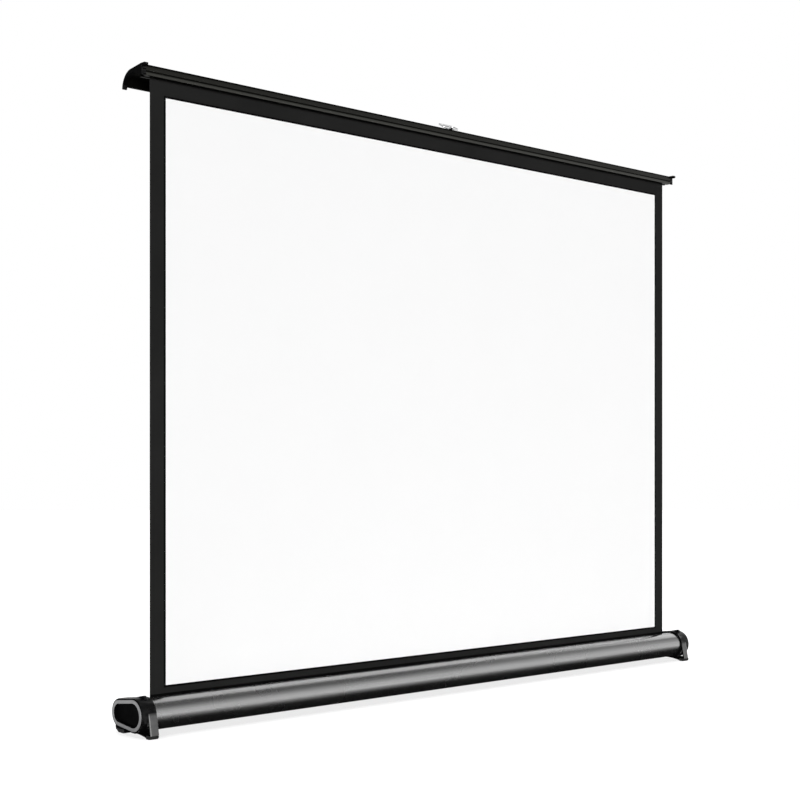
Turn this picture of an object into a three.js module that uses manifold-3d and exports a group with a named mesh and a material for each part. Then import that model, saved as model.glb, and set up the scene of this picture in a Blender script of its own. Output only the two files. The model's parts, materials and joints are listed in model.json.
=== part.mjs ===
// Tabletop projector screen, pulled up: an aluminium housing with a spring roller, a lid that a pair of
// geared folding arms carries, and a matte white screen stretched between the two.
// Millimetres. X runs along the housing, Y from the front to the back and Z up, with the feet on Z = 0.
import * as THREE from "three";
import { mergeVertices } from "three/addons/utils/BufferGeometryUtils.js";
import Module from "manifold-3d";

const wasm = await Module();
wasm.setup();

// Fits that many pieces share
const restGap = 0.3;
const pinGap = 0.3;
const cutOverrun = 5;

// Screen fabric
const fabricWidth = 1060;
const fabricThickness = 0.5;

// Housing extrusion: a round roller chamber in front, an open-topped channel for the folded arms behind
const housingOverhang = 11;
const chamberCentreY = -14.5;
const chamberCentreZ = 27.6;
const chamberRadius = 20.3;
const chamberWall = 1.8;
const channelCentreY = 18.5;
const channelCentreZ = 27.3;
const channelRadius = 16.6;
const channelWall = 1.6;
const channelFrontY = 6.6;
const backWallGap = 1.7;
const slotFrontGap = 2.5;
const slotRearGap = 2;
const screwPortRadius = 1.6;
const portUpperY = 3.7;
const portUpperZ = 42;
const portLowerY = 3.2;
const portLowerZ = 14.5;

// Roller
const wrapOuterRadius = 11.2;
const wrapThickness = 0.7;
const rollerWall = 1;
const rollerOverhang = 2;
const plugDepth = 12;
const plugFlange = 2.4;
const mandrelRadius = 3;
const mandrelSocketDepth = 8;
const mandrelTail = 36;
const springMeanRadius = 4.4;
const springWire = 1.6;
const springTurns = 24;
const springLength = 260;
const springTailLength = 5;

// End caps of the housing
const capThickness = 21.4;
const capLip = 2.2;
const capRise = 0.6;
const capBevel = 2;
const ringInset = 0.1;
const ringBand = 5.4;
const ringProud = 0.4;
const ringSeatDepth = 6.2;
const ringBevel = 0.5;
const plateThickness = 2.2;
const screwHeadRadius = 3;
const screwHeadHeight = 2;
const screwShankRadius = 1.3;
const screwLength = 28;

// Feet under the end caps
const footWidth = 12;
const footWebThickness = 2.4;
const footFlange = 2.6;
const padWidth = 12.6;
const padHeight = 4.6;
const padRounding = 4;
const toeFrontY = -42.4;
const toePadDepth = 11;
const heelBackY = 42.4;
const heelPadDepth = 20.4;
const heelUndercut = 8;
const heelStepZ = 10;
const heelRiseZ = 19;
const barEndZ = 1.2;
const barMiddleZ = 4.2;

// Ears on the end caps, which guide the closing lid
const earThickness = 4;
const earFrontY = -25;
const earBackY = -4;
const earTailY = 7;
const earFrontTopZ = 53.5;
const earBackTopZ = 49.7;
const earTailZ = 48.4;
const earRounding = 4;

// Lid extrusion, measured with the screen pulled up
const lidOverhang = 11.2;
const lidFrontY = -11;
const lidBackY = 34.5;
const lidHeight = 14.1;
const lidWall = 1.6;
const lidShoulderFall = 2.6;
const lidShoulderRadius = 22;
const lidRibDepth = 1.3;
const lidRibMargin = 0.5;
const lidRibGroove = 1;
const upperRibShare = 0.587;
const lidBackEdgeRise = 3;
const closedLidGap = 0.8;
const mouthFrontGap = 1.5;
const mouthRearGap = 1.5;
const channelLipHeight = 1.5;

// Lid caps
const lidCapThickness = 6.5;
const lidCapLip = 0.9;
const hookReach = 7;
const hookHeight = 4;
const capArchY = 8;
const capArchRise = 6.5;
const capArchFoot = 2.4;

// Folding arms with gear sectors, two layers deep
const armEndRoom = 61;
const raisedLean = 32.8;
const armWidth = 15;
const armThickness = 6.7;
const armFlange = 2.4;
const armWeb = 1.8;
const armPocketStart = 18;
const lowerLayerY = 9.3;
const layerGap = 1.4;
const basePivotZ = 29;
const closedPivotRise = 12;
const gearPitchRadius = 12;
const gearTeeth = 16;
const gearAddendum = 1.3;
const gearDedendum = 1.75;
const gearBacklash = 0.5;
const pressureAngle = 20;
const gearFlankSteps = 3;
const pivotRadius = 3;
const pivotHeadRadius = 5;
const pivotHeadHeight = 0.8;
const washerRadius = 6;

// Brackets that hold the arms' pivots
const bracketThickness = 2;
const baseBracketHalf = 46;
const baseBracketLowZ = 15.5;
const baseBracketHighZ = 41.5;
const baseBracketCorner = 4;
const bracketScrewX = 36;
const bracketScrewSpread = 8;
const bracketScrewHead = 2.6;
const bracketScrewSink = 1.2;
const bracketScrewDepth = 3.4;
const topBracketHalf = 62;
const topWingInnerX = 27;
const topBracketDrop = 8.5;
const topBracketCorner = 4;
const topBracketGap = 0.7;
const topRivetX = 45;
const topRivetY = 9;
const rivetRadius = 1.5;
const rivetHeadRadius = 2.4;
const rivetHeadHeight = 0.8;

// Keder rod that holds the top of the fabric in the lid
const kederRadius = 3.4;
const kederSideGap = 0.75;

// Pull ring and its lug
const ringWire = 2.6;
const ringWidth = 31;
const ringDepth = 14;
const ringCorner = 5;
const ringTilt = 28;
const ringCentreX = 2.5;
const ringAxisY = -9;
const ringAxisRise = 2.6;
const lugWidth = 3;
const lugRadius = 2.3;
const lugFlangeWidth = 18;
const lugFlangeHeight = 0.8;
const lugFlangeBack = 14;
const lugRivetBack = 5;
const lugRivetX = 5.5;

// Facets
const roundSegments = 12;
const smallSegments = 6;
const wireSegments = 8;

// Values that follow from the sizes above
const housingHalf = fabricWidth / 2 + housingOverhang;
const lidHalf = fabricWidth / 2 + lidOverhang;
const chamberInner = chamberRadius - chamberWall;
const fabricFrontY = chamberCentreY + wrapOuterRadius + restGap;
const fabricBackY = fabricFrontY + fabricThickness;
const slotFrontY = fabricFrontY - slotFrontGap;
const slotRearY = fabricBackY + slotRearGap;
const chamberTopZ = chamberCentreZ + chamberRadius;
const closedLipZ = chamberTopZ + closedLidGap;
const armLength = housingHalf - armEndRoom;
const restAngle = THREE.MathUtils.degToRad(raisedLean);
const topPivotZ = basePivotZ + 2 * armLength * Math.cos(restAngle);
const lidTravel = topPivotZ - basePivotZ - closedPivotRise;
const raisedLipZ = closedLipZ + lidTravel;
const lidTopZ = raisedLipZ + lidHeight;
const shoulderTopZ = lidTopZ - lidShoulderFall;
const shoulderCentreY = lidBackY - lidShoulderRadius;
const shoulderCentreZ = shoulderTopZ - lidShoulderRadius;
const elbowX = gearPitchRadius + armLength * Math.sin(restAngle);
const elbowZ = (basePivotZ + topPivotZ) / 2;
const lowerLayerBackY = lowerLayerY + armThickness;
const upperLayerY = lowerLayerBackY + layerGap;
const upperLayerBackY = upperLayerY + armThickness;
const capInnerX = housingHalf + restGap;
const capOuterX = capInnerX + capThickness;
const lidCapInnerX = lidHalf + restGap;
const lidCapOuterX = lidCapInnerX + lidCapThickness;

const finish = (colour, roughness, metalness) =>
  new THREE.MeshStandardMaterial({ color: colour, roughness, metalness });
const anodised = finish(0x8f9092, 0.32, 1);
const blackAnodised = finish(0x17181a, 0.35, 0.3);
const glossBlack = finish(0x0c0d0e, 0.22, 0);
const satinGrey = finish(0x77787a, 0.4, 0.6);
const blackSteel = finish(0x1c1d1f, 0.45, 0.4);
const zincSteel = finish(0xa7a9ac, 0.35, 1);
const chrome = finish(0xd9dbde, 0.1, 1);
const rubber = finish(0x101010, 0.9, 0);
const whiteFabric = finish(0xf4f4f2, 0.95, 0);

// Turns a closed three.js geometry into a solid that can be joined and cut.
function solid(geometry) {
  const bare = geometry.clone();
  bare.deleteAttribute("normal");
  bare.deleteAttribute("uv");
  const merged = mergeVertices(bare);
  return new wasm.Manifold(
    new wasm.Mesh({
      numProp: 3,
      vertProperties: merged.attributes.position.array,
      triVerts: new Uint32Array(merged.index.array),
    }),
  );
}

function piece(name, shape, material) {
  const data = shape.getMesh();
  const geometry = new THREE.BufferGeometry();
  geometry.setAttribute("position", new THREE.BufferAttribute(data.vertProperties, data.numProp));
  geometry.setIndex(new THREE.BufferAttribute(data.triVerts, 1));
  geometry.computeVertexNormals();
  const mesh = new THREE.Mesh(geometry, material);
  mesh.name = name;
  return mesh;
}

// Adds a piece at the right end and its mirror image at the left end.
function pair(group, name, shape, material) {
  const right = piece(`${name}_right`, shape, material);
  const left = right.clone();
  left.name = `${name}_left`;
  left.scale.x = -1;
  group.add(right, left);
}

const joined = (shapes) => shapes.reduce((all, next) => all.add(next));

// A profile drawn in Y and Z, drawn out along X. A bevel rounds both ends within the outline.
function alongX(profile, fromX, toX, bevel = 0, segments = roundSegments) {
  const geometry = new THREE.ExtrudeGeometry(profile, {
    depth: toX - fromX - 2 * bevel,
    curveSegments: segments,
    bevelEnabled: bevel > 0,
    bevelThickness: bevel,
    bevelSize: bevel,
    bevelOffset: -bevel,
    bevelSegments: 2,
  });
  geometry.translate(0, 0, fromX + bevel);
  const firstAxis = new THREE.Vector3(0, 1, 0);
  const secondAxis = new THREE.Vector3(0, 0, 1);
  const depthAxis = new THREE.Vector3(1, 0, 0);
  geometry.applyMatrix4(new THREE.Matrix4().makeBasis(firstAxis, secondAxis, depthAxis));
  return solid(geometry);
}

// A profile drawn in X and Z, drawn out along Y.
function alongY(profile, fromY, toY, segments = roundSegments) {
  const geometry = new THREE.ExtrudeGeometry(profile, {
    depth: toY - fromY,
    curveSegments: segments,
    bevelEnabled: false,
  });
  geometry.rotateX(Math.PI / 2);
  geometry.translate(0, toY, 0);
  return solid(geometry);
}

function block(x0, x1, y0, y1, z0, z1) {
  const geometry = new THREE.BoxGeometry(x1 - x0, y1 - y0, z1 - z0);
  geometry.translate((x0 + x1) / 2, (y0 + y1) / 2, (z0 + z1) / 2);
  return solid(geometry);
}

function disc(centreU, centreV, radius) {
  const shape = new THREE.Shape();
  shape.absarc(centreU, centreV, radius, 0, 2 * Math.PI, false);
  return shape;
}

const rodX = (y, z, radius, fromX, toX, segments = smallSegments) =>
  alongX(disc(y, z, radius), fromX, toX, 0, segments);

const rodY = (x, z, radius, fromY, toY, segments = smallSegments) =>
  alongY(disc(x, z, radius), fromY, toY, segments);

function polygon(points) {
  return new THREE.Shape(points.map(([u, v]) => new THREE.Vector2(u, v)));
}

// The section that the housing, its caps, rings and plates share: the outline round the roller chamber
// and the channel, grown outwards by a given amount, and raised where a cap sits a little high.
function housingOutline(grow, rise = 0) {
  const frontRadius = chamberRadius + grow;
  const backRadius = channelRadius + grow;
  const alongY = channelCentreY - chamberCentreY;
  const alongZ = channelCentreZ - chamberCentreZ;
  const tilt = Math.atan2(alongZ, alongY);
  const lean = Math.acos((frontRadius - backRadius) / Math.hypot(alongY, alongZ));
  const shape = new THREE.Shape();
  const frontZ = chamberCentreZ + rise;
  const backZ = channelCentreZ + rise;
  shape.absarc(chamberCentreY, frontZ, frontRadius, tilt + lean, tilt - lean + 2 * Math.PI, false);
  shape.absarc(channelCentreY, backZ, backRadius, tilt - lean, tilt + lean, false);
  shape.closePath();
  return shape;
}

// Lowest reach of the closed lid's caps above a given Y: it falls from the lip to the caps' back corner.
const capBackFall = raisedLipZ - shoulderCentreZ;
function closedEdgeZ(y) {
  return closedLipZ - (capBackFall * (y - lidFrontY)) / (lidBackY - lidFrontY);
}

function housingExtrusion() {
  const from = -housingHalf;
  const to = housingHalf;
  const farUp = chamberTopZ + cutOverrun;
  const back = channelCentreY + channelRadius + cutOverrun;
  const backWallTopZ = shoulderCentreZ + lidBackEdgeRise - lidTravel - backWallGap;
  const innerChannel = alongX(housingOutline(-channelWall), from - cutOverrun, to + cutOverrun);
  const behindDivider = block(
    from - cutOverrun,
    to + cutOverrun,
    channelFrontY,
    back,
    -cutOverrun,
    farUp,
  );
  const openTop = block(from - cutOverrun, to + cutOverrun, channelFrontY, back, backWallTopZ, farUp);
  const slot = block(from - cutOverrun, to + cutOverrun, slotFrontY, slotRearY, chamberCentreZ, farUp);
  const screwHoles = bracketScrewPlaces().map(([x, z]) =>
    rodY(x, z, screwShankRadius + pinGap, channelFrontY - bracketScrewDepth - pinGap, channelFrontY + restGap),
  );
  return alongX(housingOutline(0), from, to)
    .subtract(rodX(chamberCentreY, chamberCentreZ, chamberInner, from - cutOverrun, to + cutOverrun, roundSegments))
    .subtract(innerChannel.intersect(behindDivider))
    .subtract(openTop)
    .subtract(slot)
    .subtract(rodX(portUpperY, portUpperZ, screwPortRadius, from - cutOverrun, to + cutOverrun))
    .subtract(rodX(portLowerY, portLowerZ, screwPortRadius, from - cutOverrun, to + cutOverrun))
    .subtract(joined(screwHoles));
}

// The line of the toe's front face: it leaves the cap's round front as a tangent and ends at the toe.
function toeLine() {
  const radius = chamberRadius + capLip;
  const toe = new THREE.Vector2(toeFrontY, padHeight + restGap);
  const centre = new THREE.Vector2(chamberCentreY, chamberCentreZ + capRise);
  const reach = toe.clone().sub(centre);
  const turn = reach.angle() - Math.acos(radius / reach.length());
  const start = new THREE.Vector2(Math.cos(turn), Math.sin(turn)).multiplyScalar(radius).add(centre);
  return { start, toe };
}

// Outline of the foot below the end cap: a toe in front, a shallow arch, and a heel behind.
function footOutline() {
  const { start, toe } = toeLine();
  const seatZ = padHeight + restGap;
  const barFrontY = toeFrontY + toePadDepth + restGap;
  const barBackY = heelBackY - heelPadDepth - restGap;
  const shape = new THREE.Shape();
  shape.moveTo(start.x, start.y);
  shape.lineTo(toe.x, toe.y);
  shape.lineTo(barFrontY, seatZ);
  shape.lineTo(barFrontY, barEndZ);
  shape.quadraticCurveTo((barFrontY + barBackY) / 2, 2 * barMiddleZ - barEndZ, barBackY, barEndZ);
  shape.lineTo(barBackY, seatZ);
  shape.lineTo(heelBackY, seatZ);
  shape.lineTo(heelBackY, heelStepZ);
  shape.lineTo(channelCentreY + channelRadius + capLip, heelRiseZ);
  shape.lineTo(channelCentreY, channelCentreZ);
  shape.lineTo(chamberCentreY, chamberCentreZ);
  shape.closePath();
  return shape;
}

// The pockets that leave the foot a flange in front and below, with a web between.
function toePocket() {
  const { start, toe } = toeLine();
  const inward = new THREE.Vector2(start.y - toe.y, toe.x - start.x).normalize().multiplyScalar(footFlange);
  const floorZ = padHeight + restGap + footFlange;
  const slope = (toe.x - start.x) / (toe.y - start.y);
  const frontAtFloor = toe.x + slope * (floorZ - toe.y) + inward.x;
  return polygon([
    [start.x + inward.x, start.y + inward.y],
    [frontAtFloor, floorZ],
    [chamberCentreY, floorZ],
    [chamberCentreY, chamberCentreZ],
  ]);
}

function heelPocket() {
  const floorZ = padHeight + restGap + footFlange;
  const topY = channelCentreY + channelRadius + capLip;
  return polygon([
    [channelCentreY, floorZ],
    [heelBackY - footFlange, floorZ],
    [heelBackY - footFlange, heelStepZ],
    [topY - footFlange, heelRiseZ],
    [channelCentreY, heelRiseZ],
  ]);
}

function endCap() {
  const footOuterX = capInnerX + footWidth;
  const body = alongX(housingOutline(capLip, capRise), capInnerX, capOuterX, capBevel).add(
    alongX(housingOutline(capLip, capRise), capInnerX, capOuterX - 2 * capBevel),
  );
  const core = alongX(housingOutline(capLip - restGap, capRise), capInnerX, capOuterX - capBevel);
  const pocketFrom = capInnerX + footWebThickness;
  const pockets = alongX(toePocket(), pocketFrom, footOuterX + cutOverrun)
    .add(alongX(heelPocket(), pocketFrom, footOuterX + cutOverrun))
    .subtract(core);
  const window = alongX(toePocket(), capInnerX - cutOverrun, pocketFrom + cutOverrun).subtract(
    alongX(
      housingOutline(capLip + footFlange / 2, capRise),
      capInnerX - 2 * cutOverrun,
      pocketFrom + 2 * cutOverrun,
    ),
  );
  const foot = alongX(footOutline(), capInnerX, footOuterX).subtract(pockets).subtract(window);
  const roomFrontY = capRibY - lidRibDepth - pinGap;
  const lidRoom = alongX(
    polygon([
      [roomFrontY, closedEdgeZ(roomFrontY) - restGap],
      [heelBackY, closedEdgeZ(heelBackY) - restGap],
      [heelBackY, earFrontTopZ + cutOverrun],
      [roomFrontY, earFrontTopZ + cutOverrun],
    ]),
    capInnerX - cutOverrun,
    lidCapOuterX + pinGap,
  );
  const seatX = capOuterX - ringSeatDepth;
  const ringSeat = alongX(
    housingOutline(pinGap - ringInset, capRise),
    seatX - restGap,
    capOuterX + cutOverrun,
  );
  const socket = rodX(
    chamberCentreY,
    chamberCentreZ,
    mandrelRadius + pinGap,
    capInnerX - cutOverrun,
    capInnerX + mandrelSocketDepth + restGap,
  );
  const screwHoles = [
    [portUpperY, portUpperZ],
    [portLowerY, portLowerZ],
  ].map(([y, z]) =>
    rodX(y, z, screwShankRadius + pinGap, capInnerX - cutOverrun, capOuterX).add(
      rodX(y, z, screwHeadRadius + pinGap, seatX - 2 * screwHeadHeight, capOuterX),
    ),
  );
  return body
    .add(foot)
    .subtract(lidRoom)
    .add(ear())
    .subtract(ringSeat)
    .subtract(socket)
    .subtract(joined(screwHoles));
}

// A raised ear on the cap's top, just outboard of the closed lid.
function ear() {
  const fromX = lidCapOuterX + pinGap;
  const shape = new THREE.Shape();
  shape.moveTo(earFrontY, chamberCentreZ);
  shape.lineTo(earFrontY, earFrontTopZ - earRounding);
  shape.absarc(earFrontY + earRounding, earFrontTopZ - earRounding, earRounding, Math.PI, Math.PI / 2, true);
  shape.lineTo(earBackY, earBackTopZ);
  shape.lineTo(earTailY, earTailZ);
  shape.lineTo(earTailY, chamberCentreZ);
  shape.closePath();
  return alongX(shape, fromX, fromX + earThickness, 0, smallSegments);
}

function capRing() {
  const from = capOuterX - ringSeatDepth;
  const to = capOuterX + ringProud;
  return alongX(housingOutline(-ringInset, capRise), from, to, ringBevel)
    .add(alongX(housingOutline(-ringInset, capRise), from, to - 2 * ringBevel))
    .subtract(alongX(housingOutline(-ringInset - ringBand, capRise), from - cutOverrun, to + cutOverrun));
}

function capPlate() {
  const from = capOuterX - ringSeatDepth;
  return alongX(housingOutline(-ringInset - ringBand - pinGap, capRise), from, from + plateThickness);
}

function capScrew(y, z) {
  const headX = capOuterX - ringSeatDepth - screwHeadHeight - restGap;
  return rodX(y, z, screwHeadRadius, headX, headX + screwHeadHeight).add(
    rodX(y, z, screwShankRadius, headX - screwLength, headX + screwHeadHeight / 2),
  );
}

function toePad() {
  const shape = new THREE.Shape();
  shape.moveTo(toeFrontY, padHeight);
  shape.lineTo(toeFrontY, padRounding);
  shape.absarc(toeFrontY + padRounding, padRounding, padRounding, Math.PI, 1.5 * Math.PI, false);
  shape.lineTo(toeFrontY + toePadDepth, 0);
  shape.lineTo(toeFrontY + toePadDepth, padHeight);
  shape.closePath();
  return alongX(shape, capInnerX, capInnerX + padWidth, 0, smallSegments);
}

function heelPad() {
  return alongX(
    polygon([
      [heelBackY, padHeight],
      [heelBackY - heelPadDepth, padHeight],
      [heelBackY - heelPadDepth, 0],
      [heelBackY - heelUndercut, 0],
    ]),
    capInnerX,
    capInnerX + padWidth,
  );
}

function buildHousing(group) {
  group.add(piece("housing_extrusion", housingExtrusion(), anodised));
  pair(group, "end_cap", endCap(), glossBlack);
  pair(group, "cap_ring", capRing(), satinGrey);
  pair(group, "cap_plate", capPlate(), glossBlack);
  pair(group, "cap_screw_upper", capScrew(portUpperY, portUpperZ), zincSteel);
  pair(group, "cap_screw_lower", capScrew(portLowerY, portLowerZ), zincSteel);
  pair(group, "toe_pad", toePad(), rubber);
  pair(group, "heel_pad", heelPad(), rubber);
}

// Roller: a tube on two plugs that turn on a fixed mandrel and a fixed gudgeon
const wrapInner = wrapOuterRadius - wrapThickness;
const rollerRadius = wrapInner - restGap;
const rollerInner = rollerRadius - rollerWall;
const rollerHalf = fabricWidth / 2 + rollerOverhang;
const springStartX = -(rollerHalf - plugDepth - springTailLength);

function ringX(outer, inner, fromX, toX, segments = roundSegments) {
  const tube = rodX(chamberCentreY, chamberCentreZ, outer, fromX, toX, segments);
  const bore = rodX(chamberCentreY, chamberCentreZ, inner, fromX - cutOverrun, toX + cutOverrun, segments);
  return tube.subtract(bore);
}

function rollerPlug() {
  const inside = ringX(rollerInner - pinGap, mandrelRadius + pinGap, rollerHalf - plugDepth, rollerHalf + plugFlange);
  return inside.add(ringX(rollerRadius, mandrelRadius + pinGap, rollerHalf + restGap, rollerHalf + plugFlange));
}

// The fixed shaft at the left end: it reaches into the roller and carries the spring.
function springMandrel() {
  const fromX = -(capInnerX + mandrelSocketDepth);
  const toX = springStartX + springLength + mandrelTail;
  return rodX(chamberCentreY, chamberCentreZ, mandrelRadius, fromX, toX);
}

function gudgeon() {
  const from = rollerHalf - plugDepth;
  return rodX(chamberCentreY, chamberCentreZ, mandrelRadius, from, capInnerX + mandrelSocketDepth);
}

class Helix extends THREE.Curve {
  getPoint(share, target = new THREE.Vector3()) {
    const angle = 2 * Math.PI * springTurns * share;
    return target.set(
      springStartX + springLength * share,
      chamberCentreY + springMeanRadius * Math.cos(angle),
      chamberCentreZ + springMeanRadius * Math.sin(angle),
    );
  }
}

function rollerSpring() {
  const section = disc(0, 0, springWire / 2);
  const stepsPerTurn = wireSegments;
  const geometry = new THREE.ExtrudeGeometry(section, {
    steps: springTurns * stepsPerTurn,
    curveSegments: 3,
    extrudePath: new Helix(),
  });
  return solid(geometry);
}

function buildRoller(group) {
  group.add(piece("roller_tube", ringX(rollerRadius, rollerInner, -rollerHalf, rollerHalf), anodised));
  group.add(
    piece("fabric_wraps", ringX(wrapOuterRadius, wrapInner, -fabricWidth / 2, fabricWidth / 2), whiteFabric),
  );
  pair(group, "roller_plug", rollerPlug(), glossBlack);
  group.add(piece("spring_mandrel", springMandrel(), zincSteel));
  group.add(piece("roller_gudgeon", gudgeon(), zincSteel));
  group.add(piece("roller_spring", rollerSpring(), blackSteel));
}

// Lid: its front carries two rounded ribs, and its roof falls in a quarter round to the back wall.
const ribHeights = lidHeight - 2 * lidRibMargin - lidRibGroove;
const upperRibHeight = upperRibShare * ribHeights;
const capRibY = lidFrontY - lidCapLip / 2;

function ribArc(shape, frontY, fromZ, toZ) {
  const halfHeight = (toZ - fromZ) / 2;
  const radius = (halfHeight * halfHeight + lidRibDepth * lidRibDepth) / (2 * lidRibDepth);
  const centreY = frontY - lidRibDepth + radius;
  const half = Math.asin(halfHeight / radius);
  const middle = (fromZ + toZ) / 2;
  shape.absarc(centreY, middle, radius, Math.PI + half, Math.PI - half, true);
}

// Draws the ribbed front from the lip to the top edge.
function ribbedFront(shape, frontY) {
  const highRibTop = lidTopZ - lidRibMargin;
  const lowRibZ = raisedLipZ + lidRibMargin;
  shape.moveTo(frontY, raisedLipZ);
  ribArc(shape, frontY, lowRibZ, lowRibZ + ribHeights - upperRibHeight);
  ribArc(shape, frontY, highRibTop - upperRibHeight, highRibTop);
  shape.lineTo(frontY, lidTopZ);
}

function lidSkin() {
  const innerRadius = lidShoulderRadius - lidWall;
  const outerEnd = Math.asin(lidBackEdgeRise / lidShoulderRadius);
  const innerEnd = Math.asin(lidBackEdgeRise / innerRadius);
  const shape = new THREE.Shape();
  ribbedFront(shape, lidFrontY);
  shape.absarc(shoulderCentreY, shoulderCentreZ, lidShoulderRadius, Math.PI / 2, outerEnd, true);
  shape.absarc(shoulderCentreY, shoulderCentreZ, innerRadius, innerEnd, Math.PI / 2, false);
  shape.lineTo(kederWallY + lidWall, roofUnderZ(kederWallY + lidWall));
  shape.lineTo(kederWallY + lidWall, raisedLipZ);
  shape.lineTo(mouthRearY, raisedLipZ);
  shape.lineTo(mouthRearY, raisedLipZ + channelLipHeight);
  shape.lineTo(kederWallY, raisedLipZ + channelLipHeight);
  shape.lineTo(kederWallY, roofUnderZ(kederWallY));
  shape.lineTo(lidFrontY + lidWall, roofUnderZ(lidFrontY + lidWall));
  shape.lineTo(lidFrontY + lidWall, raisedLipZ + channelLipHeight);
  shape.lineTo(mouthFrontY, raisedLipZ + channelLipHeight);
  shape.lineTo(mouthFrontY, raisedLipZ);
  shape.closePath();
  return shape;
}

const mouthFrontY = fabricFrontY - mouthFrontGap;
const mouthRearY = fabricBackY + mouthRearGap;
const kederY = (fabricFrontY + fabricBackY) / 2;
const kederZ = raisedLipZ + channelLipHeight + restGap + kederRadius;
const kederWallY = kederY + kederRadius + kederSideGap;

// Underside of the lid's sloping roof at a given Y, in front of the rounded shoulder.
function roofUnderZ(y) {
  const slope = lidShoulderFall / (shoulderCentreY - lidFrontY);
  return lidTopZ - slope * (y - lidFrontY) - lidWall;
}

function lidCap() {
  const front = lidFrontY - lidCapLip;
  const back = lidBackY + lidCapLip;
  const top = lidTopZ + lidCapLip;
  const archZ = raisedLipZ + capArchRise;
  const shape = new THREE.Shape();
  shape.moveTo(front, raisedLipZ);
  shape.lineTo(front, top - lidCapLip);
  shape.lineTo(lidFrontY, top);
  shape.absarc(shoulderCentreY, shoulderCentreZ, lidShoulderRadius + lidCapLip, Math.PI / 2, 0, true);
  shape.lineTo(back, shoulderCentreZ);
  shape.lineTo(back - capArchFoot, shoulderCentreZ);
  shape.quadraticCurveTo(back - capArchFoot, archZ, capArchY, archZ);
  shape.lineTo(lidFrontY, raisedLipZ);
  shape.closePath();
  const ribs = new THREE.Shape();
  ribbedFront(ribs, capRibY);
  ribs.lineTo(lidFrontY + lidWall, lidTopZ);
  ribs.lineTo(lidFrontY, raisedLipZ);
  ribs.closePath();
  const hook = new THREE.Shape();
  const tipRadius = hookHeight / 2;
  hook.moveTo(lidFrontY, top);
  hook.lineTo(front - hookReach + tipRadius, top);
  hook.absarc(front - hookReach + tipRadius, top - tipRadius, tipRadius, Math.PI / 2, 1.5 * Math.PI, false);
  hook.lineTo(lidFrontY, top - hookHeight);
  hook.closePath();
  return alongX(shape, lidCapInnerX, lidCapOuterX, lidCapLip / 2)
    .add(alongX(ribs, lidCapInnerX, lidCapOuterX - 2 * lidCapLip))
    .add(alongX(hook, lidCapInnerX + lidCapLip, lidCapOuterX - lidCapLip, 0, smallSegments));
}

function kederRod() {
  return rodX(kederY, kederZ, kederRadius, -fabricWidth / 2, fabricWidth / 2);
}

function screenFabric() {
  const half = fabricWidth / 2;
  const topZ = kederZ - kederRadius - restGap;
  return block(-half, half, fabricFrontY, fabricBackY, chamberCentreZ, topZ);
}

function buildLid(group) {
  const holes = [
    ...lugRivetPlaces(),
    [-topRivetX, topRivetY],
    [topRivetX, topRivetY],
  ].map(([x, y]) => rivetHole(x, y));
  const extrusion = alongX(lidSkin(), -lidHalf, lidHalf).subtract(joined(holes));
  group.add(piece("lid_extrusion", extrusion, blackAnodised));
  pair(group, "lid_cap", lidCap(), glossBlack);
  group.add(piece("keder_rod", kederRod(), glossBlack));
  group.add(piece("screen_fabric", screenFabric(), whiteFabric));
}

// Folding arms. Each is drawn upright from its geared pivot, then leaned over to its rest angle.
const gearOuterRadius = gearPitchRadius + gearAddendum;
const gearRootRadius = gearPitchRadius - gearDedendum;
const toothPitch = (2 * Math.PI) / gearTeeth;

function involute(angle) {
  return Math.tan(angle) - angle;
}

// Half the angle that a tooth fills at a given radius.
function toothHalfAngle(radius) {
  const pressure = THREE.MathUtils.degToRad(pressureAngle);
  const baseRadius = gearPitchRadius * Math.cos(pressure);
  const thickness = (gearPitchRadius * toothPitch) / 2 - gearBacklash;
  const atRadius = Math.acos(Math.min(1, baseRadius / radius));
  return thickness / (2 * gearPitchRadius) + involute(pressure) - involute(atRadius);
}

// One gear tooth whose middle lies at a given angle, turning from +Z towards +X.
function tooth(angle) {
  const pressure = THREE.MathUtils.degToRad(pressureAngle);
  const baseRadius = gearPitchRadius * Math.cos(pressure);
  const radii = [gearRootRadius - gearBacklash];
  for (let i = 0; i <= gearFlankSteps; i += 1) {
    radii.push(baseRadius + ((gearOuterRadius - baseRadius) * i) / gearFlankSteps);
  }
  const side = (sign, list) =>
    list.map((radius) => {
      const at = angle + sign * toothHalfAngle(Math.max(radius, baseRadius));
      return [radius * Math.sin(at), radius * Math.cos(at)];
    });
  return polygon([...side(1, radii), ...side(-1, [...radii].reverse())]);
}

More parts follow.
